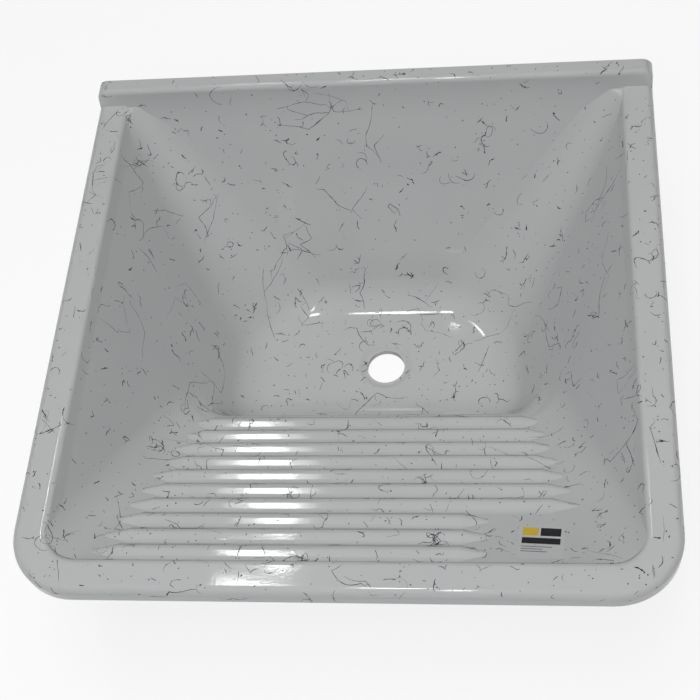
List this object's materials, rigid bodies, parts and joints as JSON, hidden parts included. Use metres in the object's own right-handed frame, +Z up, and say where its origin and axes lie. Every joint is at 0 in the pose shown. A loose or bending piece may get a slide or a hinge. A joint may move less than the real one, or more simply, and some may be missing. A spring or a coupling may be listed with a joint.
{
  "type": "laundry sink",
  "caption": "Laundry sink cast in filled resin with a gloss strand-patterned gel coat: sloping ribbed washboard, soap rest, deep bowl with an open drain hole, rolled rim and rear rail.",
  "frame": {"origin": "middle of the face that stands against the wall, at the height of the rim's top", "axes": "+X to the right of someone standing at the sink, +Y into the wall, +Z up"},
  "size_m": [0.6, 0.59, 0.242],
  "materials": {
    "cast_body": "matte grey filled resin, plain and slightly rough on the poured back",
    "gelcoat_face": "gloss light grey gel coat with fine dark hair-like strands and specks",
    "label_film": "thin clear film with plain printed bars in black and yellow"
  },
  "bodies": {
    "root": {"cast_body": "cast_body", "gelcoat_face": "gelcoat_face", "label_film": "label_film"}
  },
  "joints": []
}
